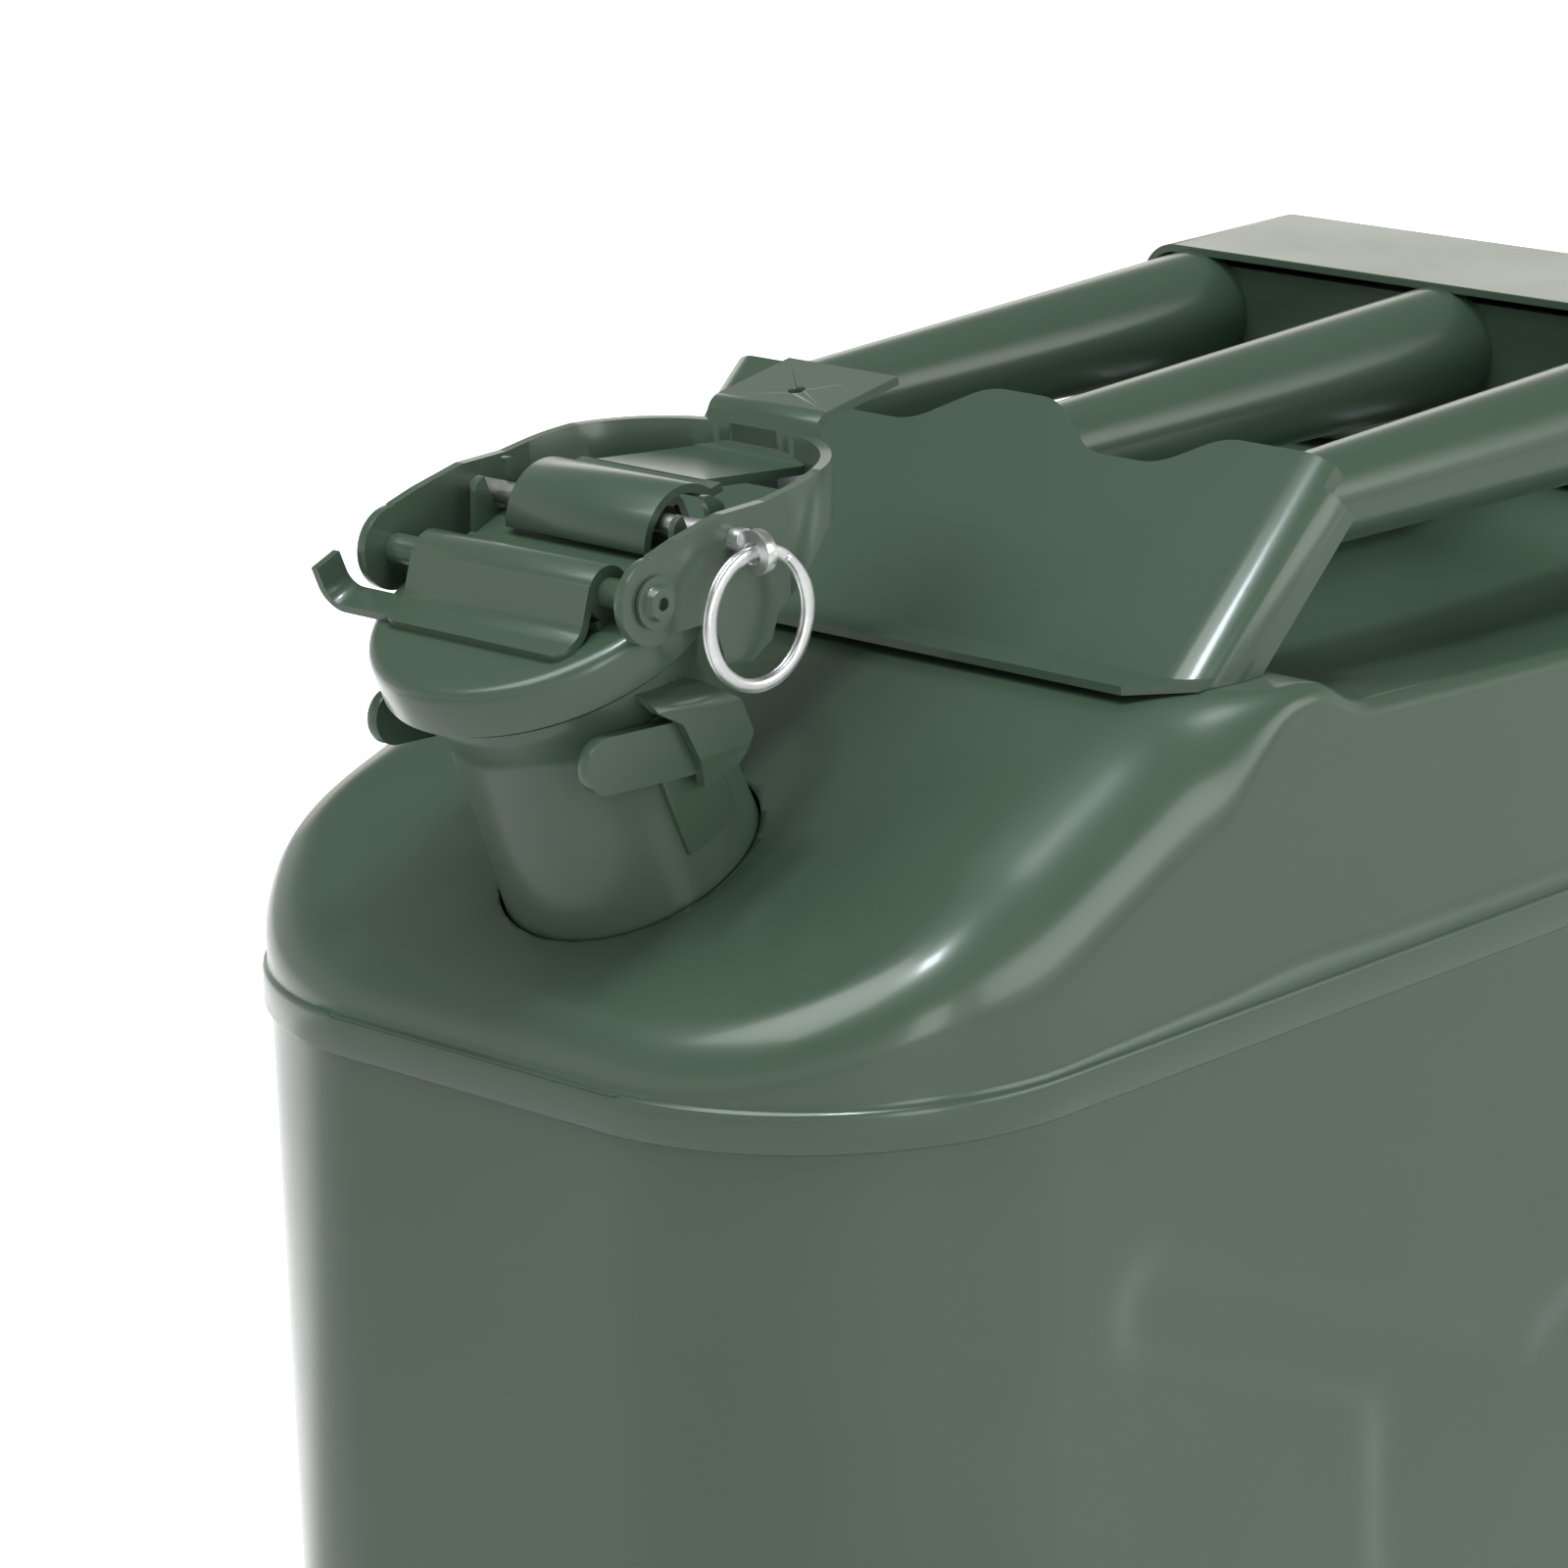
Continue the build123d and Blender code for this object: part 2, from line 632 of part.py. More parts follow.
with BuildPart() as closing_lever:
    with BuildSketch(Plane.XY.offset(above_seam(60))):
        with BuildLine():
            FilletPolyline(
                (back_from_front(5), -ARM_OUT + ARM_SHEET / 2),
                (back_from_front(LEVER_BACK), -ARM_OUT + ARM_SHEET / 2),
                (back_from_front(LEVER_BACK), ARM_OUT - ARM_SHEET / 2),
                (back_from_front(5), ARM_OUT - ARM_SHEET / 2),
                radius=LEVER_BEND_R,
            )
        trace(line_width=ARM_SHEET)
    extrude(amount=60)
    add(lever_side_shape.part, mode=Mode.INTERSECT)
    with BuildSketch(SIDE):
        with BuildLine():
            FilletPolyline(*side_points(TAIL_TOP), radius=2.6)
        trace(line_width=TAIL_SHEET)
    extrude(amount=TAIL_HALF, both=True)
    with BuildSketch(NECK_SIDE):
        with BuildLine():
            barrel_arc = CenterArc(BARREL, BARREL_R, BARREL_ARC[0], BARREL_ARC[1] - BARREL_ARC[0])
            Line(barrel_arc @ 0, to_neck(46.4, 93.95))
        trace(line_width=TAIL_SHEET)
    extrude(amount=BARREL_HALF, both=True)
    with BuildSketch(Plane.XY.offset(above_seam(110))):
        with Locations((back_from_front(TAIL_HOLE_X), 0)):
            Circle(TAIL_HOLE_R)
    extrude(amount=-14, mode=Mode.SUBTRACT)
save(closing_lever, "closing_lever")

# ---------------------------------------------------------------- safety pin and its ring
EYE_R = 3.7
EYE_SHEET = 2.0
EYE_OUT = 35.4  # middle of the eye, out from the middle of the can
EYE_HOLE_R = 1.9
PIN_TIP = 33.0
RING_R = 10.7
RING_WIRE_R = 1.3
lock_x, lock_z = (neck_point(*LOCK).X, neck_point(*LOCK).Z)
eye_z = lock_z - 1.6
with BuildPart() as safety_pin:
    with BuildSketch(NECK_SIDE.offset(-PIN_TIP)):
        with Locations(LOCK):
            Circle(LOCK_R)
    extrude(amount=PIN_TIP + EYE_OUT - 2.4)
    chamfer(safety_pin.edges().filter_by(GeomType.CIRCLE).sort_by(Axis.Y)[-1], 0.7)
    with BuildSketch(Plane.YZ.offset(lock_x - EYE_SHEET / 2)):
        with Locations((-EYE_OUT, eye_z)):
            Circle(EYE_R)
            Circle(EYE_HOLE_R, mode=Mode.SUBTRACT)
    extrude(amount=EYE_SHEET)
save(safety_pin, "safety_pin")

with BuildPart() as split_ring:
    ring_centre = Plane(origin=(lock_x, -EYE_OUT, eye_z - RING_R), x_dir=(1, 0, 0), z_dir=(0, -1, 0))
    with BuildSketch(Plane(origin=ring_centre.origin, x_dir=(1, 0, 0), z_dir=(0, 0, 1))):
        with Locations((RING_R, 0)):
            Circle(RING_WIRE_R)
    revolve(axis=Axis(ring_centre.origin, (0, 1, 0)))
save(split_ring, "split_ring")

# ---------------------------------------------------------------- handle
LEAN = radians(LEAN_DEG)
LEAN_PLANE = Plane(
    origin=(back_from_front(FRONT_FOOT), 0, above_seam(PLATEAU_H)),
    x_dir=(0, -1, 0),
    z_dir=(-sin(LEAN), 0, cos(LEAN)),
)  # sketch X is across the can, sketch Y runs up the leaning plate, its normal points out


def leaning_channel(shrink, depth):
    """A block behind the leaning plate with two rounded edges up the slope. shrink moves its faces in."""
    foot = Plane(LEAN_PLANE.origin, x_dir=LEAN_PLANE.x_dir, z_dir=LEAN_PLANE.y_dir)
    with BuildPart() as block:
        with BuildSketch(foot.offset(-WIDTH / 2)) as section:
            with Locations((0, (depth + shrink) / 2)):
                Rectangle(2 * (BRACKET_HALF - shrink), depth - shrink)
            fillet(section.vertices().group_by(Axis.Y)[0], BRACKET_BEND_R - shrink)
        extrude(amount=LENGTH)
    return block.part


BAR_PLACES = {"near": -BAR_PITCH, "middle": 0.0, "far": BAR_PITCH}
CREST_LINE = [  # half of the top edge: across from the middle, up the slope
    (8.0, CREST),
    (20.5, TROUGH),
    (36.0, TROUGH),
    (46.5, SIDE_CREST),
    (BRACKET_HALF - 2.0, SIDE_CREST),
    (BRACKET_HALF - 2.0, SIDE_CREST - FLANGE_DROP),
    (BRACKET_HALF + 5.0, SIDE_CREST - FLANGE_DROP),
    (BRACKET_HALF + 5.0, -25.0),
]
LIP_LINE = [(-LIP, 61.0), (2.0, BRACKET_HALF - BRACKET_SHEET), (10.0, BRACKET_HALF - BRACKET_SHEET)]  # half

with BuildPart() as bracket_outline:
    with BuildSketch(LEAN_PLANE.offset(-20)) as crest_shape:
        with BuildLine():
            Polyline(*CREST_LINE, *[(-x, t) for x, t in reversed(CREST_LINE)], close=True)
        make_face()
        fillet(crest_shape.vertices().filter_by(lambda v: abs(v.X) < BAR_PITCH and v.Y > 0), 12.0)
    extrude(amount=40)

with BuildPart() as front_handle_bracket:
    add(leaning_channel(0.0, FLANGE_DEPTH))
    add(leaning_channel(BRACKET_SHEET, FLANGE_DEPTH + 2), mode=Mode.SUBTRACT)
    add(bracket_outline.part, mode=Mode.INTERSECT)
    with BuildSketch(Plane.XY.offset(above_seam(PLATEAU_H))):
        with Locations((back_from_front(FRONT_FOOT), 0)):
            Rectangle(WIDTH, 2 * WIDTH)
    extrude(amount=-WIDTH, mode=Mode.SUBTRACT)
    with BuildSketch(Plane(origin=LEAN_PLANE.origin, z_dir=(0, 0, 1))):
        with BuildLine():
            Polyline(*LIP_LINE, *[(x, -y) for x, y in reversed(LIP_LINE)], close=True)
        make_face()
    extrude(amount=BRACKET_SHEET)
save(front_handle_bracket, "front_handle_bracket")

BACK_FOOT = BACK_TOP[1] + (HANDLE_H - PLATEAU_H) / tan(LEAN)


def on_slope(edge):
    """True for an edge that goes both along the can and up."""
    size = edge.bounding_box().size
    return size.X > 1 and size.Z > 1


def back_block(shrink, bottom):
    """The back bracket's block. shrink moves its faces in; bottom is its foot above the seam."""
    lean_top = BACK_TOP[1] - shrink / sin(LEAN) + shrink / tan(LEAN)
    outline = [
        (BACK_TOP[0] - shrink, bottom),
        (BACK_TOP[0] - shrink, HANDLE_H - shrink),
        (lean_top, HANDLE_H - shrink),
        (lean_top + (HANDLE_H - shrink - bottom) / tan(LEAN), bottom),
    ]
    with BuildPart() as block:
        with BuildSketch(SIDE):
            with BuildLine():
                Polyline(*side_points(outline), close=True)
            make_face()
        extrude(amount=BRACKET_HALF - shrink, both=True)
        sides = block.edges().filter_by(lambda e: abs(e.center().Y) > BRACKET_HALF - shrink - 0.1)
        fillet(sides.filter_by(on_slope) + sides.filter_by(Axis.X).group_by(Axis.Z)[-1], BRACKET_BEND_R - shrink)
    return block.part


with BuildPart() as back_handle_bracket:
    add(back_block(0.0, PLATEAU_H))
    add(back_block(BRACKET_SHEET, PLATEAU_H - 10), mode=Mode.SUBTRACT)
    with BuildSketch(Plane.XY.offset(above_seam(PLATEAU_H))):
        with Locations((back_from_front(BACK_FOOT + LIP / 2 - 0.6), 0)):
            Rectangle(LIP + 1.2, 2 * (BRACKET_HALF - BRACKET_BEND_R + 1))
    extrude(amount=BRACKET_SHEET)
    for side in (-1, 1):
        with BuildSketch(Plane.XY.offset(above_seam(PLATEAU_H))):
            with Locations((back_from_front(BACK_TOP[0]), side * BRACKET_HALF)):
                Rectangle(2 * (WEB_X - BACK_TOP[0]), 6 * BRACKET_SHEET)
        extrude(amount=HANDLE_H - PLATEAU_H - BRACKET_BEND_R - 2, mode=Mode.SUBTRACT)
save(back_handle_bracket, "back_handle_bracket")

# Upright web under the flat top, folded forward at its foot.
with BuildPart() as back_handle_web:
    with BuildSketch(SIDE):
        with BuildLine():
            FilletPolyline(
                *side_points(
                    [
                        (WEB_X + BRACKET_SHEET / 2, HANDLE_H - BRACKET_SHEET - WEB_GAP),
                        (WEB_X + BRACKET_SHEET / 2, PLATEAU_H + BRACKET_SHEET / 2),
                        (WEB_X + 12.0, PLATEAU_H + BRACKET_SHEET / 2),
                    ]
                ),
                radius=2.5,
            )
        trace(line_width=BRACKET_SHEET)
    extrude(amount=BRACKET_HALF - BRACKET_SHEET, both=True)
    add(back_block(BRACKET_SHEET, PLATEAU_H), mode=Mode.INTERSECT)
save(back_handle_web, "back_handle_web")


# ---------------------------------------------------------------- handle bars
def tapered_bar(middle_y, shrink):
    """A bar's outline, filled, from the leaning plate to the web. shrink makes it thinner."""
    with BuildPart() as block:
        for distance, radius in zip((FRONT_FOOT, WEB_X), BAR_R):
            with BuildSketch(Plane.YZ.offset(back_from_front(distance))):
                with Locations((middle_y, above_seam(BAR_H))):
                    Circle(radius - shrink)
        loft()
    return block.part


for place, middle_y in BAR_PLACES.items():
    with BuildPart() as handle_bar:
        add(tapered_bar(middle_y, 0.0))
        add(tapered_bar(middle_y, BAR_SHEET), mode=Mode.SUBTRACT)
        add(leaning_channel(BRACKET_SHEET, LENGTH), mode=Mode.INTERSECT)
        add(back_handle_bracket.part, mode=Mode.SUBTRACT)
    save(handle_bar, f"handle_bar_{place}")
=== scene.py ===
"""The steel jerry can in paint, zinc and rubber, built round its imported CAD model.

Metres, in the CAD's frame.
"""

import json
from math import cos, pi, radians, sin, sqrt

import bmesh
import bpy
from mathutils import Matrix, Vector


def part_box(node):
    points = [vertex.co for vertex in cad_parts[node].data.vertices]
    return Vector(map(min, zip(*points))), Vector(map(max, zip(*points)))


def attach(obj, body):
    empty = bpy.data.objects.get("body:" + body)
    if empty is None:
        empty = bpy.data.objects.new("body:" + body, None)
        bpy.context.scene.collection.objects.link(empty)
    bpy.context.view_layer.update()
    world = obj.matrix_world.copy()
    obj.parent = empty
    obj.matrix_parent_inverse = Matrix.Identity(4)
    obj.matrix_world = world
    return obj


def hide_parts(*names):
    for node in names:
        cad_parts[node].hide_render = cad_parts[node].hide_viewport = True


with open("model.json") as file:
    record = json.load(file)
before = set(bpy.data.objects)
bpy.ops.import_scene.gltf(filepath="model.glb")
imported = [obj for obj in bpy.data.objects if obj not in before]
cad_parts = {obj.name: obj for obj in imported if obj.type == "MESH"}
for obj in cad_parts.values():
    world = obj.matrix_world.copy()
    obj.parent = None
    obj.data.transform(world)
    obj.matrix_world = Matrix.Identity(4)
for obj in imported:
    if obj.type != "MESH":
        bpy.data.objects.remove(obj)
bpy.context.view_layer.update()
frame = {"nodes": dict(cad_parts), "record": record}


# ---------------------------------------------------------------- node helpers
def new_material(name):
    """A material with an empty tree: returns it, a function that adds a node, and one that links sockets."""
    material = bpy.data.materials.new(name)
    material.use_nodes = True
    tree = material.node_tree
    tree.nodes.clear()

    def add(kind, **settings):
        node = tree.nodes.new(kind)
        for key, value in settings.items():
            if hasattr(node, key):
                setattr(node, key, value)
            else:
                node.inputs[key.replace("_", " ")].default_value = value
        return node

    def link(source, target):
        tree.links.new(source, target)

    return material, add, link


def noise(add, link, coords, scale, detail=2.0, roughness=0.5):
    """A noise texture in object space, its cells about 1/scale metres."""
    node = add("ShaderNodeTexNoise")
    node.inputs["Scale"].default_value = scale
    node.inputs["Detail"].default_value = detail
    node.inputs["Roughness"].default_value = roughness
    link(coords, node.inputs["Vector"])
    return node.outputs["Fac"]


def ramp(add, link, value, stops):
    """A colour ramp: stops are (position, colour)."""
    node = add("ShaderNodeValToRGB")
    elements = node.color_ramp.elements
    while len(elements) < len(stops):
        elements.new(0.5)
    for element, (position, colour) in zip(elements, stops):
        element.position = position
        element.color = (*colour, 1.0)
    link(value, node.inputs["Fac"])
    return node.outputs["Color"]


def grey(level):
    return (level, level, level)


# ---------------------------------------------------------------- materials
PAINT = (0.055, 0.094, 0.060)
PAINT_DUSTY = (0.067, 0.108, 0.071)
PAINT_WORN = (0.12, 0.16, 0.13)


def paint_material():
    """Semi-gloss enamel: faint orange peel, slow waves in the sheet, cloudy tone and a few tiny rub marks."""
    material, add, link = new_material("green_enamel")
    coords = add("ShaderNodeTexCoord").outputs["Object"]
    shader = add("ShaderNodeBsdfPrincipled")
    output = add("ShaderNodeOutputMaterial")
    link(shader.outputs["BSDF"], output.inputs["Surface"])
    cloud = noise(add, link, coords, 9.0, 3.0, 0.55)
    tone = ramp(add, link, cloud, [(0.35, PAINT), (0.72, PAINT_DUSTY)])
    speckle = noise(add, link, coords, 900.0, 3.0, 0.6)
    rubbed = ramp(add, link, speckle, [(0.72, grey(0.0)), (0.80, grey(0.25))])
    worn = add("ShaderNodeMix", data_type="RGBA", blend_type="MIX")
    link(rubbed, worn.inputs[0])
    link(tone, worn.inputs[6])
    worn.inputs[7].default_value = (*PAINT_WORN, 1)
    link(worn.outputs[2], shader.inputs["Base Color"])
    rough = ramp(add, link, noise(add, link, coords, 24.0, 4.0, 0.6), [(0.3, grey(0.27)), (0.75, grey(0.36))])
    link(rough, shader.inputs["Roughness"])
    shader.inputs["IOR"].default_value = 1.52
    shader.inputs["Coat Weight"].default_value = 0.35
    shader.inputs["Coat Roughness"].default_value = 0.14
    wave = noise(add, link, coords, 16.0, 1.0, 0.5)
    peel = noise(add, link, coords, 900.0, 1.0, 0.5)
    sheet_bump = add("ShaderNodeBump")
    sheet_bump.inputs["Strength"].default_value = 0.22
    sheet_bump.inputs["Distance"].default_value = 0.0012
    link(wave, sheet_bump.inputs["Height"])
    peel_bump = add("ShaderNodeBump")
    peel_bump.inputs["Strength"].default_value = 0.10
    peel_bump.inputs["Distance"].default_value = 0.0001
    link(peel, peel_bump.inputs["Height"])
    link(sheet_bump.outputs["Normal"], peel_bump.inputs["Normal"])
    link(peel_bump.outputs["Normal"], shader.inputs["Normal"])
    return material


def zinc_material():
    """Bright plated steel with fine drawn scratches and small dull spots."""
    material, add, link = new_material("bright_zinc")
    coords = add("ShaderNodeTexCoord").outputs["Object"]
    shader = add("ShaderNodeBsdfPrincipled")
    output = add("ShaderNodeOutputMaterial")
    link(shader.outputs["BSDF"], output.inputs["Surface"])
    shader.inputs["Metallic"].default_value = 1.0
    spots = noise(add, link, coords, 300.0, 3.0, 0.6)
    tone = ramp(add, link, spots, [(0.3, (0.82, 0.82, 0.83)), (0.8, grey(0.95))])
    link(tone, shader.inputs["Base Color"])
    rough = ramp(add, link, noise(add, link, coords, 700.0, 4.0, 0.7), [(0.3, grey(0.26)), (0.8, grey(0.42))])
    link(rough, shader.inputs["Roughness"])
    bump = add("ShaderNodeBump")
    bump.inputs["Strength"].default_value = 0.15
    bump.inputs["Distance"].default_value = 0.0001
    link(noise(add, link, coords, 1500.0, 2.0, 0.5), bump.inputs["Height"])
    link(bump.outputs["Normal"], shader.inputs["Normal"])
    return material


def rubber_material():
    """Black rubber with a fine grain and a grey bloom."""
    material, add, link = new_material("seal_rubber")
    coords = add("ShaderNodeTexCoord").outputs["Object"]
    shader = add("ShaderNodeBsdfPrincipled")
    output = add("ShaderNodeOutputMaterial")
    link(shader.outputs["BSDF"], output.inputs["Surface"])
    tone = ramp(add, link, noise(add, link, coords, 160.0, 4.0, 0.6), [(0.35, grey(0.010)), (0.8, grey(0.030))])
    link(tone, shader.inputs["Base Color"])
    rough = ramp(add, link, noise(add, link, coords, 350.0, 2.0, 0.5), [(0.3, grey(0.5)), (0.8, grey(0.75))])
    link(rough, shader.inputs["Roughness"])
    bump = add("ShaderNodeBump")
    bump.inputs["Strength"].default_value = 0.4
    bump.inputs["Distance"].default_value = 0.00015
    link(noise(add, link, coords, 1200.0, 2.0, 0.5), bump.inputs["Height"])
    link(bump.outputs["Normal"], shader.inputs["Normal"])
    return material


FINISHES = {"green_paint": paint_material(), "zinc_plate": zinc_material(), "black_rubber": rubber_material()}
SLOT_OF = {entry["node"]: entry["material_slot"] for entry in frame["record"]["subparts"]}


def dress(piece, slot):
    """Gives a piece its finish as its only material."""
    piece.data.materials.clear()
    piece.data.materials.append(FINISHES[slot])


for node, piece in frame["nodes"].items():
    dress(piece, SLOT_OF[node])

# ---------------------------------------------------------------- pieces
MM = 0.001
LENGTH = 345.0 * MM
WIDTH = 165.0 * MM
CORNER_R = 52.5 * MM
SEAM_Z = 366.5 * MM
SEAM_H = 6.9 * MM
WALL_INSET = 0.3 * MM
SHEET = 1.0 * MM
BODY_INSET = WALL_INSET + SHEET
MIDDLE_X = 3.37 * MM
FRONT_X = MIDDLE_X - LENGTH / 2


def mesh_piece(name, points, faces):
    """A new object from points and faces, its near-equal points merged and its normals turned out."""
    mesh = bpy.data.meshes.new(name)
    mesh.from_pydata([tuple(p) for p in points], [], faces)
    shape = bmesh.new()
    shape.from_mesh(mesh)
    bmesh.ops.remove_doubles(shape, verts=shape.verts, dist=1e-6)
    bmesh.ops.recalc_face_normals(shape, faces=shape.faces)
    shape.to_mesh(mesh)
    shape.free()
    piece = bpy.data.objects.new(name, mesh)
    bpy.context.collection.objects.link(piece)
    for face in mesh.polygons:
        face.use_smooth = True
    return piece


def stand_for(piece, node, slot):
    """The piece takes a CAD node's place, body and finish."""
    dress(piece, slot)
    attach(piece, next(body for body, nodes in BODIES.items() if node in nodes))
    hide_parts(node)


BODIES = frame["record"]["behaviour"]["bodies"]


def grid_faces(rows, columns):
    """Quads of a grid stored row by row, its last column joined to its first."""
    faces = []
    for row in range(rows - 1):
        for column in range(columns):
            after = (column + 1) % columns
            low = row * columns
            high = low + columns
            faces.append((low + column, low + after, high + after, high + column))
    return faces


def smoothstep(low, high, value):
    t = min(max((value - low) / (high - low), 0.0), 1.0)
    return t * t * (3 - 2 * t)


def plan_outline():
    """Points and outward normals round the plan outline, closely spaced, from the front going the near way."""
    half_x = LENGTH / 2 - CORNER_R
    half_y = WIDTH / 2 - CORNER_R
    outline = []
    corner_steps = 26
    long_steps = 96
    short_steps = 24

    def corner(cx, cy, start):
        for i in range(corner_steps):
            angle = radians(start + 90.0 * i / corner_steps)
            normal = Vector((cos(angle), sin(angle)))
            outline.append((Vector((MIDDLE_X + cx, cy)) + normal * CORNER_R, normal))

    def edge(a, b, normal, steps):
        for i in range(steps):
            outline.append((Vector(a).lerp(Vector(b), i / steps), Vector(normal)))

    left, near = MIDDLE_X - half_x, -WIDTH / 2
    corner(-half_x, -half_y, 180)
    edge((left, near), (MIDDLE_X + half_x, near), (0, -1), long_steps)
    corner(half_x, -half_y, 270)
    edge((MIDDLE_X + LENGTH / 2, -half_y), (MIDDLE_X + LENGTH / 2, half_y), (1, 0), short_steps)
    corner(half_x, half_y, 0)
    edge((MIDDLE_X + half_x, -near), (left, -near), (0, 1), long_steps)
    corner(-half_x, half_y, 90)
    edge((FRONT_X, half_y), (FRONT_X, -half_y), (-1, 0), short_steps)
    return outline


OUTLINE = plan_outline()

# The pressed figure: four sloping arms that run into a wide waist, on both wide sides.
FIGURE_MIDDLE = 187.0 * MM
ARM_START = Vector((66.0 * MM - LENGTH / 2, 331.0 * MM - FIGURE_MIDDLE))
ARM_SLOPE = radians(23.5)
ARM_HALF = 9.0 * MM
WAIST_HALF = 44.0 * MM
FIGURE_DEPTH = 1.6 * MM
FIGURE_EDGE = 6.5 * MM


def figure_distance(x, z):
    """Signed distance to the figure's outline, negative inside; x and z from the figure's middle."""
    x, z = -abs(x), abs(z)
    along = Vector((cos(ARM_SLOPE), -sin(ARM_SLOPE)))
    rel = Vector((x, z)) - ARM_START
    run = rel.dot(along) - ARM_HALF
    arm_length = -ARM_START.x / cos(ARM_SLOPE)
    run = run - min(max(run, 0.0), arm_length)
    across = rel.x * along.y * -1 + rel.y * along.x
    arm = sqrt(run * run + across * across) - ARM_HALF
    arm_middle = ARM_START.y - (x - ARM_START.x) * sin(ARM_SLOPE) / cos(ARM_SLOPE)
    waist = max(-x - WAIST_HALF, (z - arm_middle) * cos(ARM_SLOPE))
    blend = 6.0 * MM
    h = min(max(0.5 + 0.5 * (waist - arm) / blend, 0.0), 1.0)
    return waist * (1 - h) + arm * h - blend * h * (1 - h)


def body_skin():
    """The body's wall with its pressed figures, one sheet thick."""
    low, high, rows = 8.0 * MM, SEAM_Z + 6.0 * MM, 150
    points = []
    for row in range(rows):
        z = low + (high - low) * row / (rows - 1)
        for place, normal in OUTLINE:
            depth = BODY_INSET
            if abs(normal.y) > 0.99:
                distance = figure_distance(place.x - MIDDLE_X, z - FIGURE_MIDDLE)
                depth += FIGURE_DEPTH * (1 - smoothstep(-FIGURE_EDGE, FIGURE_EDGE * 0.6, distance))
            spot = place - normal * depth
            points.append((spot.x, spot.y, z))
    piece = mesh_piece("body_wall", points, grid_faces(rows, len(OUTLINE)))
    thicken = piece.modifiers.new("sheet", "SOLIDIFY")
    thicken.thickness = SHEET
    thicken.offset = -1.0
    return piece


# The drawn top: a profile along the can whose slope changes in soft bends, and a rim that rolls over.
# Its bends are listed below: it leaves the CAD's top by up to 2.5 mm, mostly below it, toward the back.
TOP_START = (0.0, 14.3, 0.466)  # from the front face, height above the seam, slope
TOP_BENDS = [  # from the front face, change of slope, half width of the bend
    (91.5, -0.466, 13.0),
    (118.5, -0.62, 3.5),
    (128.0, 0.57, 5.0),
    (187.0, 0.05, 12.0),
    (236.0, 0.72, 4.0),
    (246.0, -0.72, 4.0),
    (331.0, -0.45, 9.0),
]
RIM_ROLL = [  # from the front face, radius of the rim
    (0.0, 8.0),
    (22.0, 10.0),
    (56.0, 20.0),
    (90.0, 20.0),
    (112.0, 4.0),
    (120.0, 3.2),
    (300.0, 3.2),
    (335.0, 9.0),
    (346.0, 9.0),
]


def top_height(x):
    """Height of the top above the ground, x in metres in the frame."""
    along = (x - FRONT_X) / MM
    height = TOP_START[1] + TOP_START[2] * along
    for place, change, half in TOP_BENDS:
        if along > place + half:
            height += change * (along - place)
        elif along > place - half:
            height += change * (along - place + half) ** 2 / (4 * half)
    return SEAM_Z + height * MM


def rim_radius(x):
    along = (x - FRONT_X) / MM
    for (x0, r0), (x1, r1) in zip(RIM_ROLL, RIM_ROLL[1:]):
        if along <= x1:
            return (r0 + (r1 - r0) * smoothstep(x0, x1, along)) * MM
    return RIM_ROLL[-1][1] * MM


NECK_PLACE = Vector((FRONT_X + 37.9 * MM, 0.0, SEAM_Z + 32.0 * MM))
NECK_TILT = radians(22.0)
NECK_UP = Vector((-sin(NECK_TILT), 0.0, cos(NECK_TILT)))
NECK_ACROSS = Vector((cos(NECK_TILT), 0.0, sin(NECK_TILT)))
NECK_FOOT_R = 22.4 * MM


def top_skin():
    """The top's outer face from the seam band up and over, thickened, with a hole for the neck."""
    band = [(WALL_INSET + SHEET, 0.0), (0.35 * MM, 0.0), (0.0, 0.5 * MM), (0.0, SEAM_H - 1.2 * MM),
            (0.12 * MM, SEAM_H - 0.5 * MM), (0.4 * MM, SEAM_H - 0.1 * MM), (0.75 * MM, SEAM_H)]
    roll_steps = 14
    points = []
    rows = 0
    for inset, height in band:
        points += [(*(place - normal * inset), SEAM_Z + height) for place, normal in OUTLINE]
        rows += 1
    inner = 0.9 * MM
    for step in range(1, 8):
        for place, normal in OUTLINE:
            crown = top_height((place - normal * inner).x)
            radius = rim_radius(place.x)
            start = SEAM_Z + SEAM_H
            points.append((*(place - normal * inner), start + (crown - radius - start) * step / 7))
        rows += 1
    for step in range(1, roll_steps + 1):
        angle = radians(90.0 * step / roll_steps)
        for place, normal in OUTLINE:
            radius = rim_radius(place.x)
            inset = inner + radius * (1 - cos(angle))
            spot = place - normal * inset
            points.append((spot.x, spot.y, top_height(spot.x) - radius * (1 - sin(angle))))
        rows += 1
    fill_steps = 34
    for step in range(1, fill_steps + 1):
        for place, normal in OUTLINE:
            radius = rim_radius(place.x)
            edge = place - normal * (inner + radius)
            reach = MIDDLE_X - NECK_PLACE.x  # the skin closes inside the neck's hole
            middle = Vector((MIDDLE_X + min(max(place.x - MIDDLE_X, -reach), reach), 0.0))
            spot = edge.lerp(middle, step / fill_steps)
            points.append((spot.x, spot.y, top_height(spot.x)))
        rows += 1
    piece = mesh_piece("drawn_top", points, grid_faces(rows, len(OUTLINE)))
    thicken = piece.modifiers.new("sheet", "SOLIDIFY")
    thicken.thickness = SHEET * 0.9
    thicken.offset = -1.0
    cut_hole(piece, NECK_PLACE, NECK_UP, NECK_FOOT_R + 0.35 * MM, 30.0 * MM)
    return piece


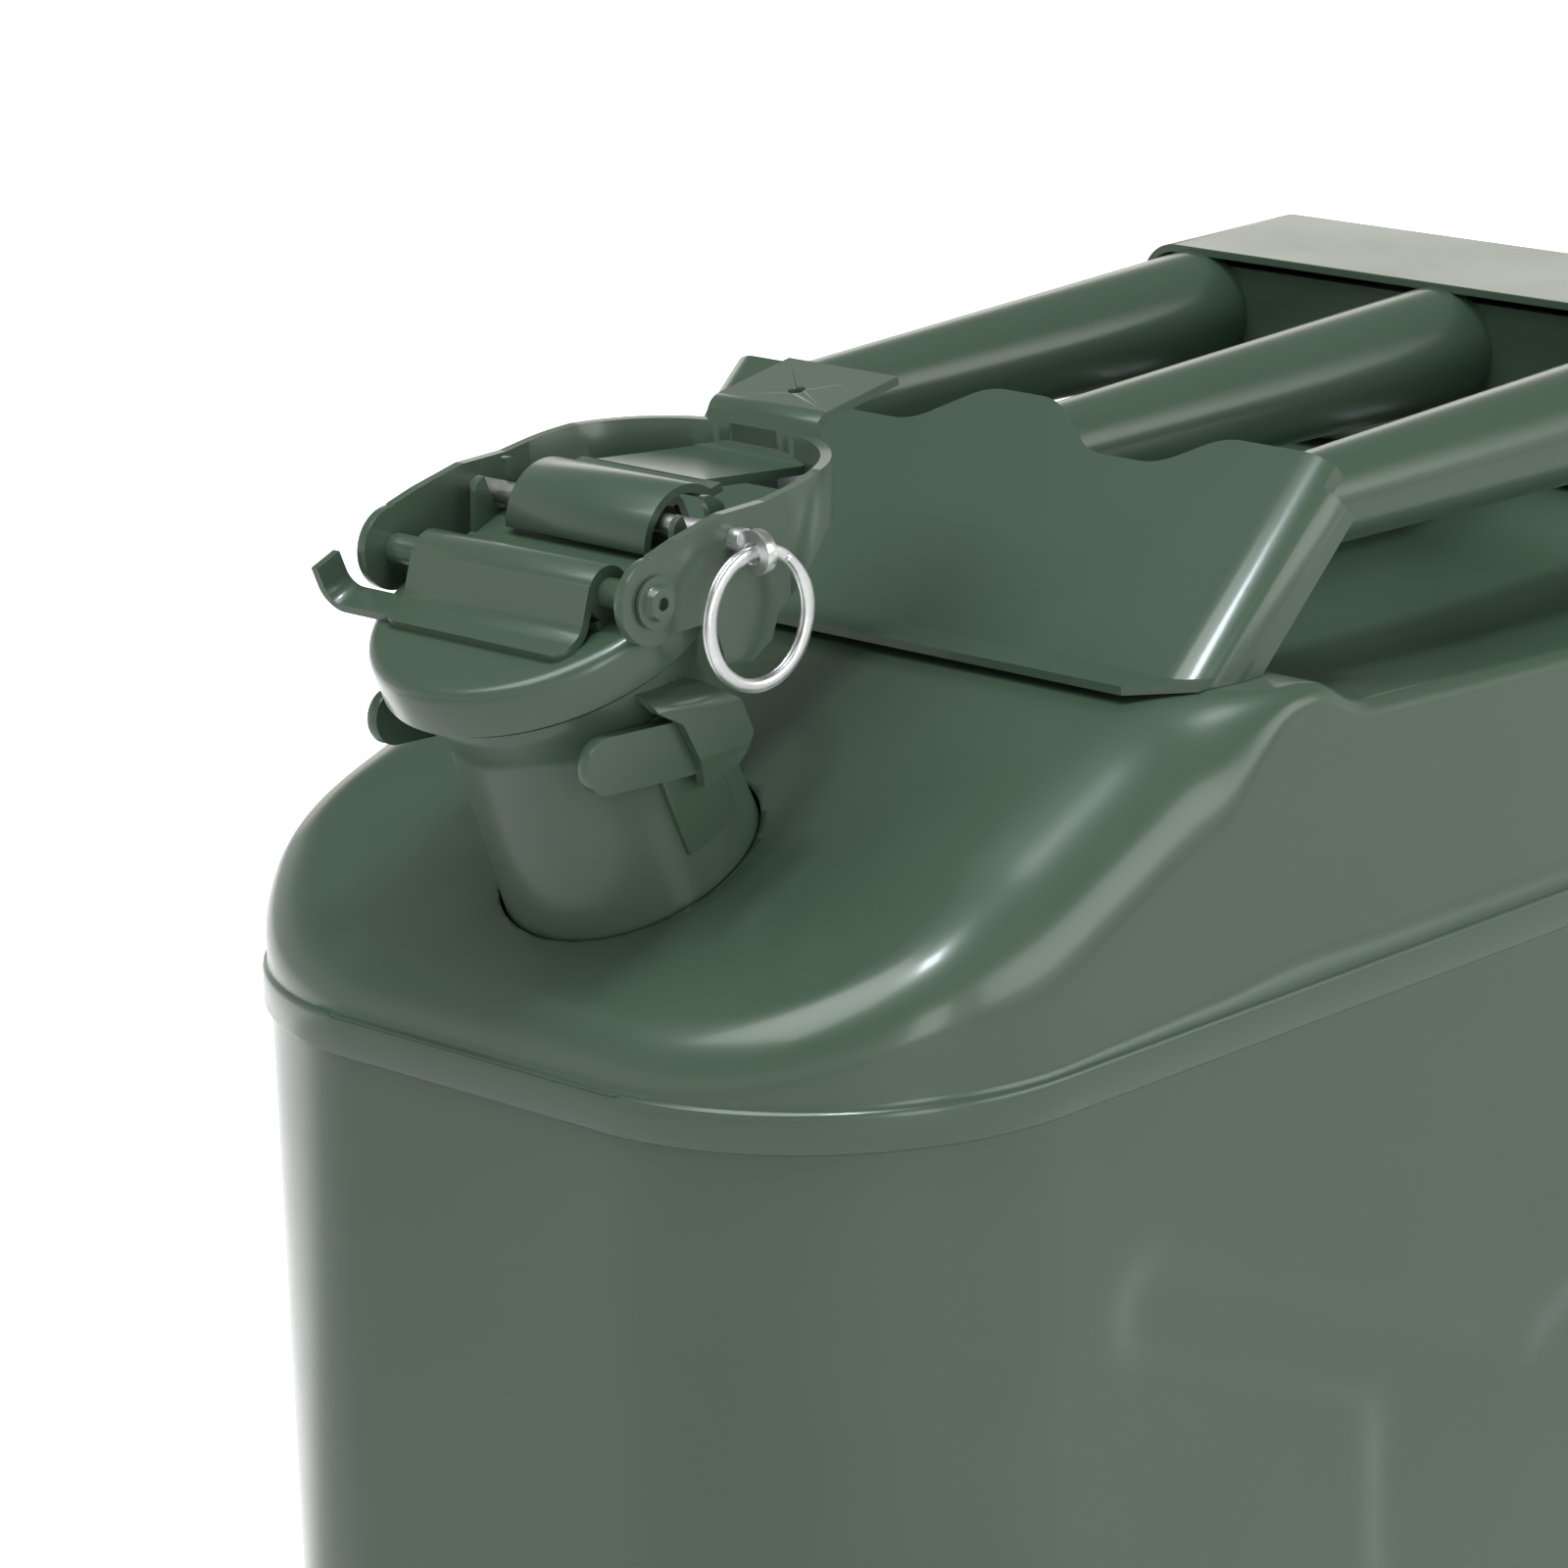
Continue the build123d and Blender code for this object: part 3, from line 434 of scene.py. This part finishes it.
def cut_hole(piece, centre, axis, radius, half_depth):
    """Cuts a round hole through a piece, and applies its modifiers."""
    drill_mesh = bpy.data.meshes.new("drill")
    shape = bmesh.new()
    bmesh.ops.create_cone(
        shape, cap_ends=True, segments=96, radius1=radius, radius2=radius, depth=2 * half_depth
    )
    shape.to_mesh(drill_mesh)
    shape.free()
    drill = bpy.data.objects.new("drill", drill_mesh)
    bpy.context.collection.objects.link(drill)
    drill.matrix_world = Matrix.Translation(centre) @ axis.to_track_quat("Z", "Y").to_matrix().to_4x4()
    cut = piece.modifiers.new("hole", "BOOLEAN")
    cut.operation = "DIFFERENCE"
    cut.object = drill
    cut.solver = "EXACT"
    apply_modifiers(piece)
    bpy.data.objects.remove(drill)


def apply_modifiers(piece):
    """Keeps the piece's evaluated mesh as its own."""
    bpy.context.view_layer.update()
    evaluated = piece.evaluated_get(bpy.context.evaluated_depsgraph_get())
    mesh = bpy.data.meshes.new_from_object(evaluated)
    piece.modifiers.clear()
    piece.data = mesh


stand_for(body_skin(), "body_shell", "green_paint")
stand_for(top_skin(), "top_shell", "green_paint")


def wire(name, path, radial, axial, sides=14):
    """An oval wire along a list of points that wind about Y, thinner toward its two ends."""
    points = []
    count = len(path)
    for i, spot in enumerate(path):
        before = path[max(i - 1, 0)]
        after = path[min(i + 1, count - 1)]
        tangent = (after - before).normalized()
        side = tangent.cross(Vector((0, 1, 0))).normalized()
        other = tangent.cross(side)
        size = 0.55 + 0.45 * min(1.0, i / 12, (count - 1 - i) / 12)
        for k in range(sides):
            angle = 2 * pi * k / sides
            points.append(spot + (side * radial * cos(angle) + other * axial * sin(angle)) * size)
    faces = grid_faces(count, sides)
    faces += [tuple(range(sides)), tuple(range((count - 1) * sides, count * sides))]
    return mesh_piece(name, points, faces)


def split_ring():
    """A ring of flat-ended spring wire wound a little under two turns."""
    low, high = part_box("split_ring")
    centre = (Vector(low) + Vector(high)) / 2
    radial = 1.15 * MM
    axial = 0.60 * MM
    coil_r = (high[0] - low[0]) / 2 - radial
    turns, steps = 1.93, 230
    rise = high[1] - low[1] - 2 * axial
    path = []
    for i in range(steps + 1):
        t = i / steps
        angle = 2 * pi * turns * t + radians(35)
        path.append(centre + Vector((coil_r * sin(angle), (t - 0.5) * rise, coil_r * cos(angle))))
    return wire("key_ring", path, radial, axial)


stand_for(split_ring(), "split_ring", "zinc_plate")

EDGE_BEVEL = 0.35 * MM
REPLACED = {"body_shell", "top_shell", "split_ring"}
for node, piece in frame["nodes"].items():
    if node not in REPLACED:
        weld = piece.modifiers.new("weld", "WELD")
        weld.merge_threshold = 2e-6
        bevel = piece.modifiers.new("edges", "BEVEL")
        bevel.width = EDGE_BEVEL
        bevel.segments = 2
        bevel.limit_method = "ANGLE"
        bevel.angle_limit = radians(40)
        bevel.harden_normals = False
        bevel.use_clamp_overlap = True

# ---------------------------------------------------------------- floor, light and camera
floor_mesh = bpy.data.meshes.new("floor")
HALF_FLOOR = 6.0
floor_mesh.from_pydata(
    [(x * HALF_FLOOR, y * HALF_FLOOR, 0.0) for x, y in ((-1, -1), (1, -1), (1, 1), (-1, 1))], [], [(0, 1, 2, 3)]
)
floor = bpy.data.objects.new("floor", floor_mesh)
bpy.context.collection.objects.link(floor)
floor_material, add, link = new_material("pale_floor")
floor_shader = add("ShaderNodeBsdfPrincipled")
link(floor_shader.outputs["BSDF"], add("ShaderNodeOutputMaterial").inputs["Surface"])
floor_shader.inputs["Roughness"].default_value = 0.9
floor_shader.inputs["Specular IOR Level"].default_value = 0.1
floor_shader.inputs["Emission Color"].default_value = (1.0, 1.0, 1.0, 1.0)
floor_coords = add("ShaderNodeTexCoord").outputs["Object"]
floor_cloud = noise(add, link, floor_coords, 2.0, 2.0, 0.5)
floor_tone = ramp(add, link, floor_cloud, [(0.3, grey(0.90)), (0.7, grey(0.93))])
link(floor_tone, floor_shader.inputs["Base Color"])
diagonal = add("ShaderNodeVectorMath")
diagonal.operation = "DOT_PRODUCT"
diagonal.inputs[1].default_value = (0.707, 0.707, 0.0)
glow = add("ShaderNodeMapRange")
glow.inputs["From Min"].default_value = 0.36
glow.inputs["From Max"].default_value = 0.52
glow.inputs["To Min"].default_value = 0.0
glow.inputs["To Max"].default_value = 1.1
link(floor_coords, diagonal.inputs[0])
link(diagonal.outputs["Value"], glow.inputs["Value"])
link(glow.outputs["Result"], floor_shader.inputs["Emission Strength"])
floor.data.materials.append(floor_material)


def soft_light(name, place, aim, size, power, colour):
    """A square area light at a place, turned to a point."""
    data = bpy.data.lights.new(name, "AREA")
    data.shape = "RECTANGLE"
    data.size, data.size_y = size
    data.energy = power
    data.color = colour
    light = bpy.data.objects.new(name, data)
    light.location = place
    light.rotation_euler = (Vector(aim) - Vector(place)).to_track_quat("-Z", "Y").to_euler()
    bpy.context.collection.objects.link(light)
    return light


AIM = (0.0, 0.0, 0.30)
soft_light("key", (1.3, -2.6, 1.5), AIM, (2.2, 1.4), 25.0, (1.0, 1.0, 0.96))
soft_light("corner_fill", (-0.75, -2.2, 0.9), AIM, (0.7, 1.2), 9.0, (1.0, 1.0, 0.97))
soft_light("window", (-0.22, -0.23, 1.90), (-0.12, -0.06, 0.40), (0.20, 0.26), 8.0, (0.86, 0.94, 1.0))
soft_light("sky", (-1.0, 0.3, 2.7), AIM, (1.6, 1.6), 34.0, (0.96, 1.0, 0.97))
soft_light("back", (1.8, 2.2, 1.0), AIM, (2.5, 0.9), 6.0, (1.0, 0.95, 0.84))

world = bpy.data.worlds.new("studio")
bpy.context.scene.world = world
world.use_nodes = True
world_nodes = world.node_tree.nodes
world_links = world.node_tree.links
direction = world_nodes.new("ShaderNodeTexCoord").outputs["Generated"]
axes = world_nodes.new("ShaderNodeSeparateXYZ")
world_links.new(direction, axes.inputs[0])
dome = world_nodes.new("ShaderNodeValToRGB")
stops = [
    (0.0, grey(0.85)),
    (0.22, grey(0.80)),
    (0.42, (0.30, 0.29, 0.27)),
    (0.66, (0.14, 0.145, 0.14)),
    (1.0, (0.34, 0.36, 0.38)),
]
while len(dome.color_ramp.elements) < len(stops):
    dome.color_ramp.elements.new(0.5)
for element, (position, colour) in zip(dome.color_ramp.elements, stops):
    element.position = position
    element.color = (*colour, 1.0)
world_links.new(axes.outputs["Z"], dome.inputs["Fac"])
world_links.new(dome.outputs["Color"], world_nodes["Background"].inputs["Color"])
world_nodes["Background"].inputs["Strength"].default_value = 0.8

# The camera looks down a little and is turned about its own axis by a hair, as a hand-held one.
CAMERA_PLACE = Vector((-0.84593, -0.74311, 0.70194))
CAMERA_ELEVATION = radians(15.86)
CAMERA_TURN = radians(45.31)  # from +Y towards +X
CAMERA_ROLL = radians(-1.937)
camera_data = bpy.data.cameras.new("camera")
camera_data.sensor_width = 36.0
camera_data.lens = 150.7
camera_data.clip_start = 0.05
camera_data.clip_end = 50.0
camera = bpy.data.objects.new("camera", camera_data)
bpy.context.collection.objects.link(camera)
forward = Vector(
    (sin(CAMERA_TURN) * cos(CAMERA_ELEVATION), cos(CAMERA_TURN) * cos(CAMERA_ELEVATION), -sin(CAMERA_ELEVATION))
)
level_right = Vector((cos(CAMERA_TURN), -sin(CAMERA_TURN), 0.0))
level_up = level_right.cross(forward)
right = level_right * cos(CAMERA_ROLL) + level_up * sin(CAMERA_ROLL)
up = right.cross(forward)
turned = Matrix((right, up, -forward)).transposed()
camera.matrix_world = Matrix.Translation(CAMERA_PLACE) @ turned.to_4x4()
bpy.context.scene.camera = camera
bpy.context.scene.view_settings.view_transform = "Standard"
